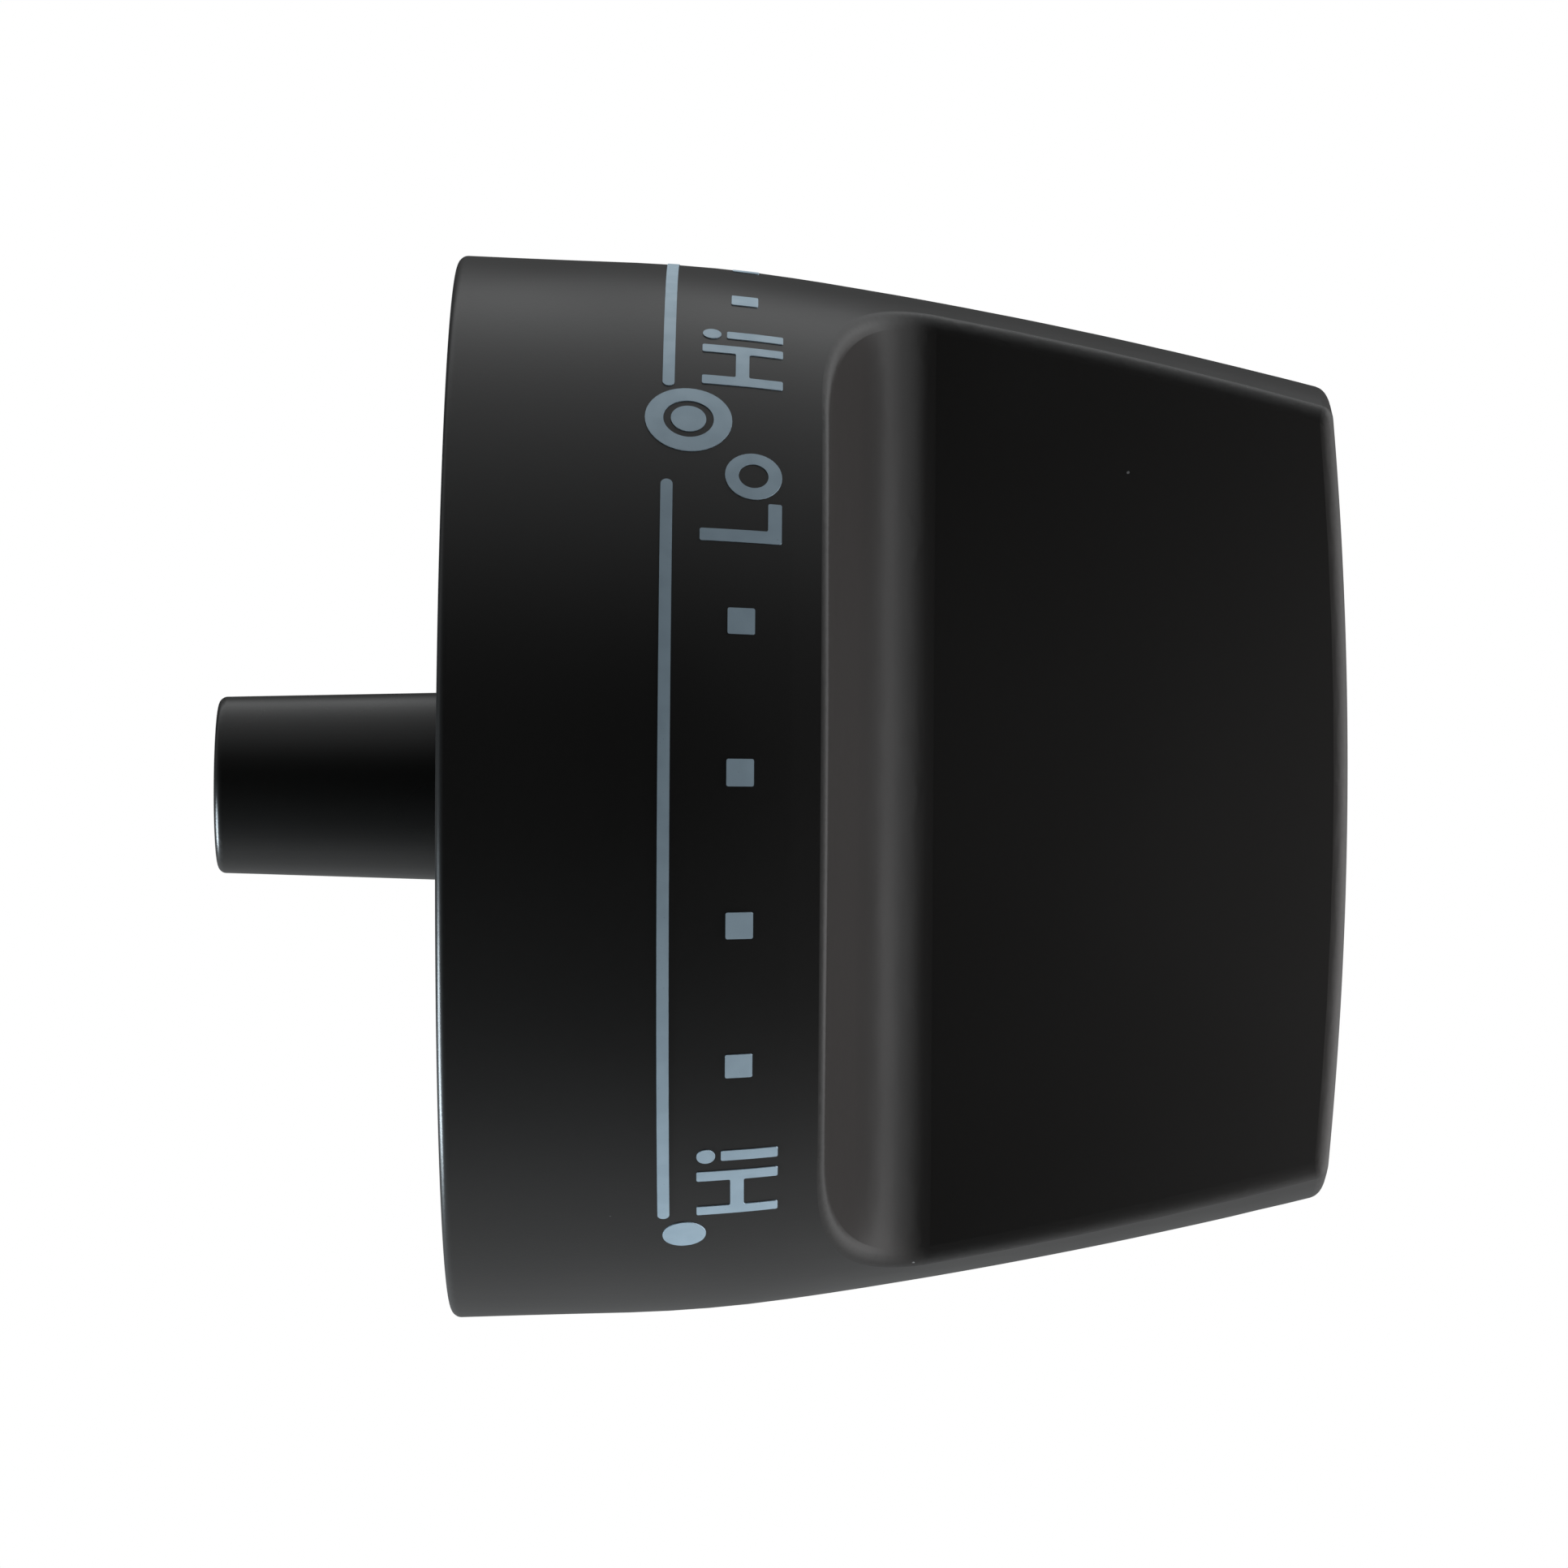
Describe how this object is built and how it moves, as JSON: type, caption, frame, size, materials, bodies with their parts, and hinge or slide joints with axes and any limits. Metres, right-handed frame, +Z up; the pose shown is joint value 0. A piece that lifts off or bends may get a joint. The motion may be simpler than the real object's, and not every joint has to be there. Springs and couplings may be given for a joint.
{
  "type": "cooktop control knob",
  "caption": "Push-on control knob: round skirt with printed heat scales, full-width blade grip between finger scoops, and a bored stem behind it with a spring clip for a D-shaft.",
  "frame": {"origin": "centre of the shaft bore at the mouth of the stem", "axes": "+X along the knob's axis towards the front of the grip; the blade of the grip stands in the XZ plane, so its flanks face -Y and +Y; +Z up"},
  "size_m": [0.0538, 0.0508, 0.0508],
  "materials": {
    "shell_plastic": "black moulded thermoset with a fine satin texture",
    "hub_plastic": "black glass-filled moulding, a little smoother than the shell",
    "spring_steel": "tempered spring steel strip",
    "scale_ink": "pale blue-grey pad-printed ink"
  },
  "bodies": {
    "knob": {"grip_shell": "shell_plastic", "stem_hub": "hub_plastic", "inner_zone_print": "scale_ink", "dual_zone_print": "scale_ink", "off_print": "scale_ink"},
    "clip": {"shaft_clip": "spring_steel"}
  },
  "joints": [
    {"name": "clip_flex", "type": "hinge", "parent": "knob", "child": "clip", "pos_m": [0.02057, 0, 0.00207], "axis": [0, 1, 0], "range_deg": [0, 2], "stiffness_Nm_per_rad": 0.5}
  ]
}
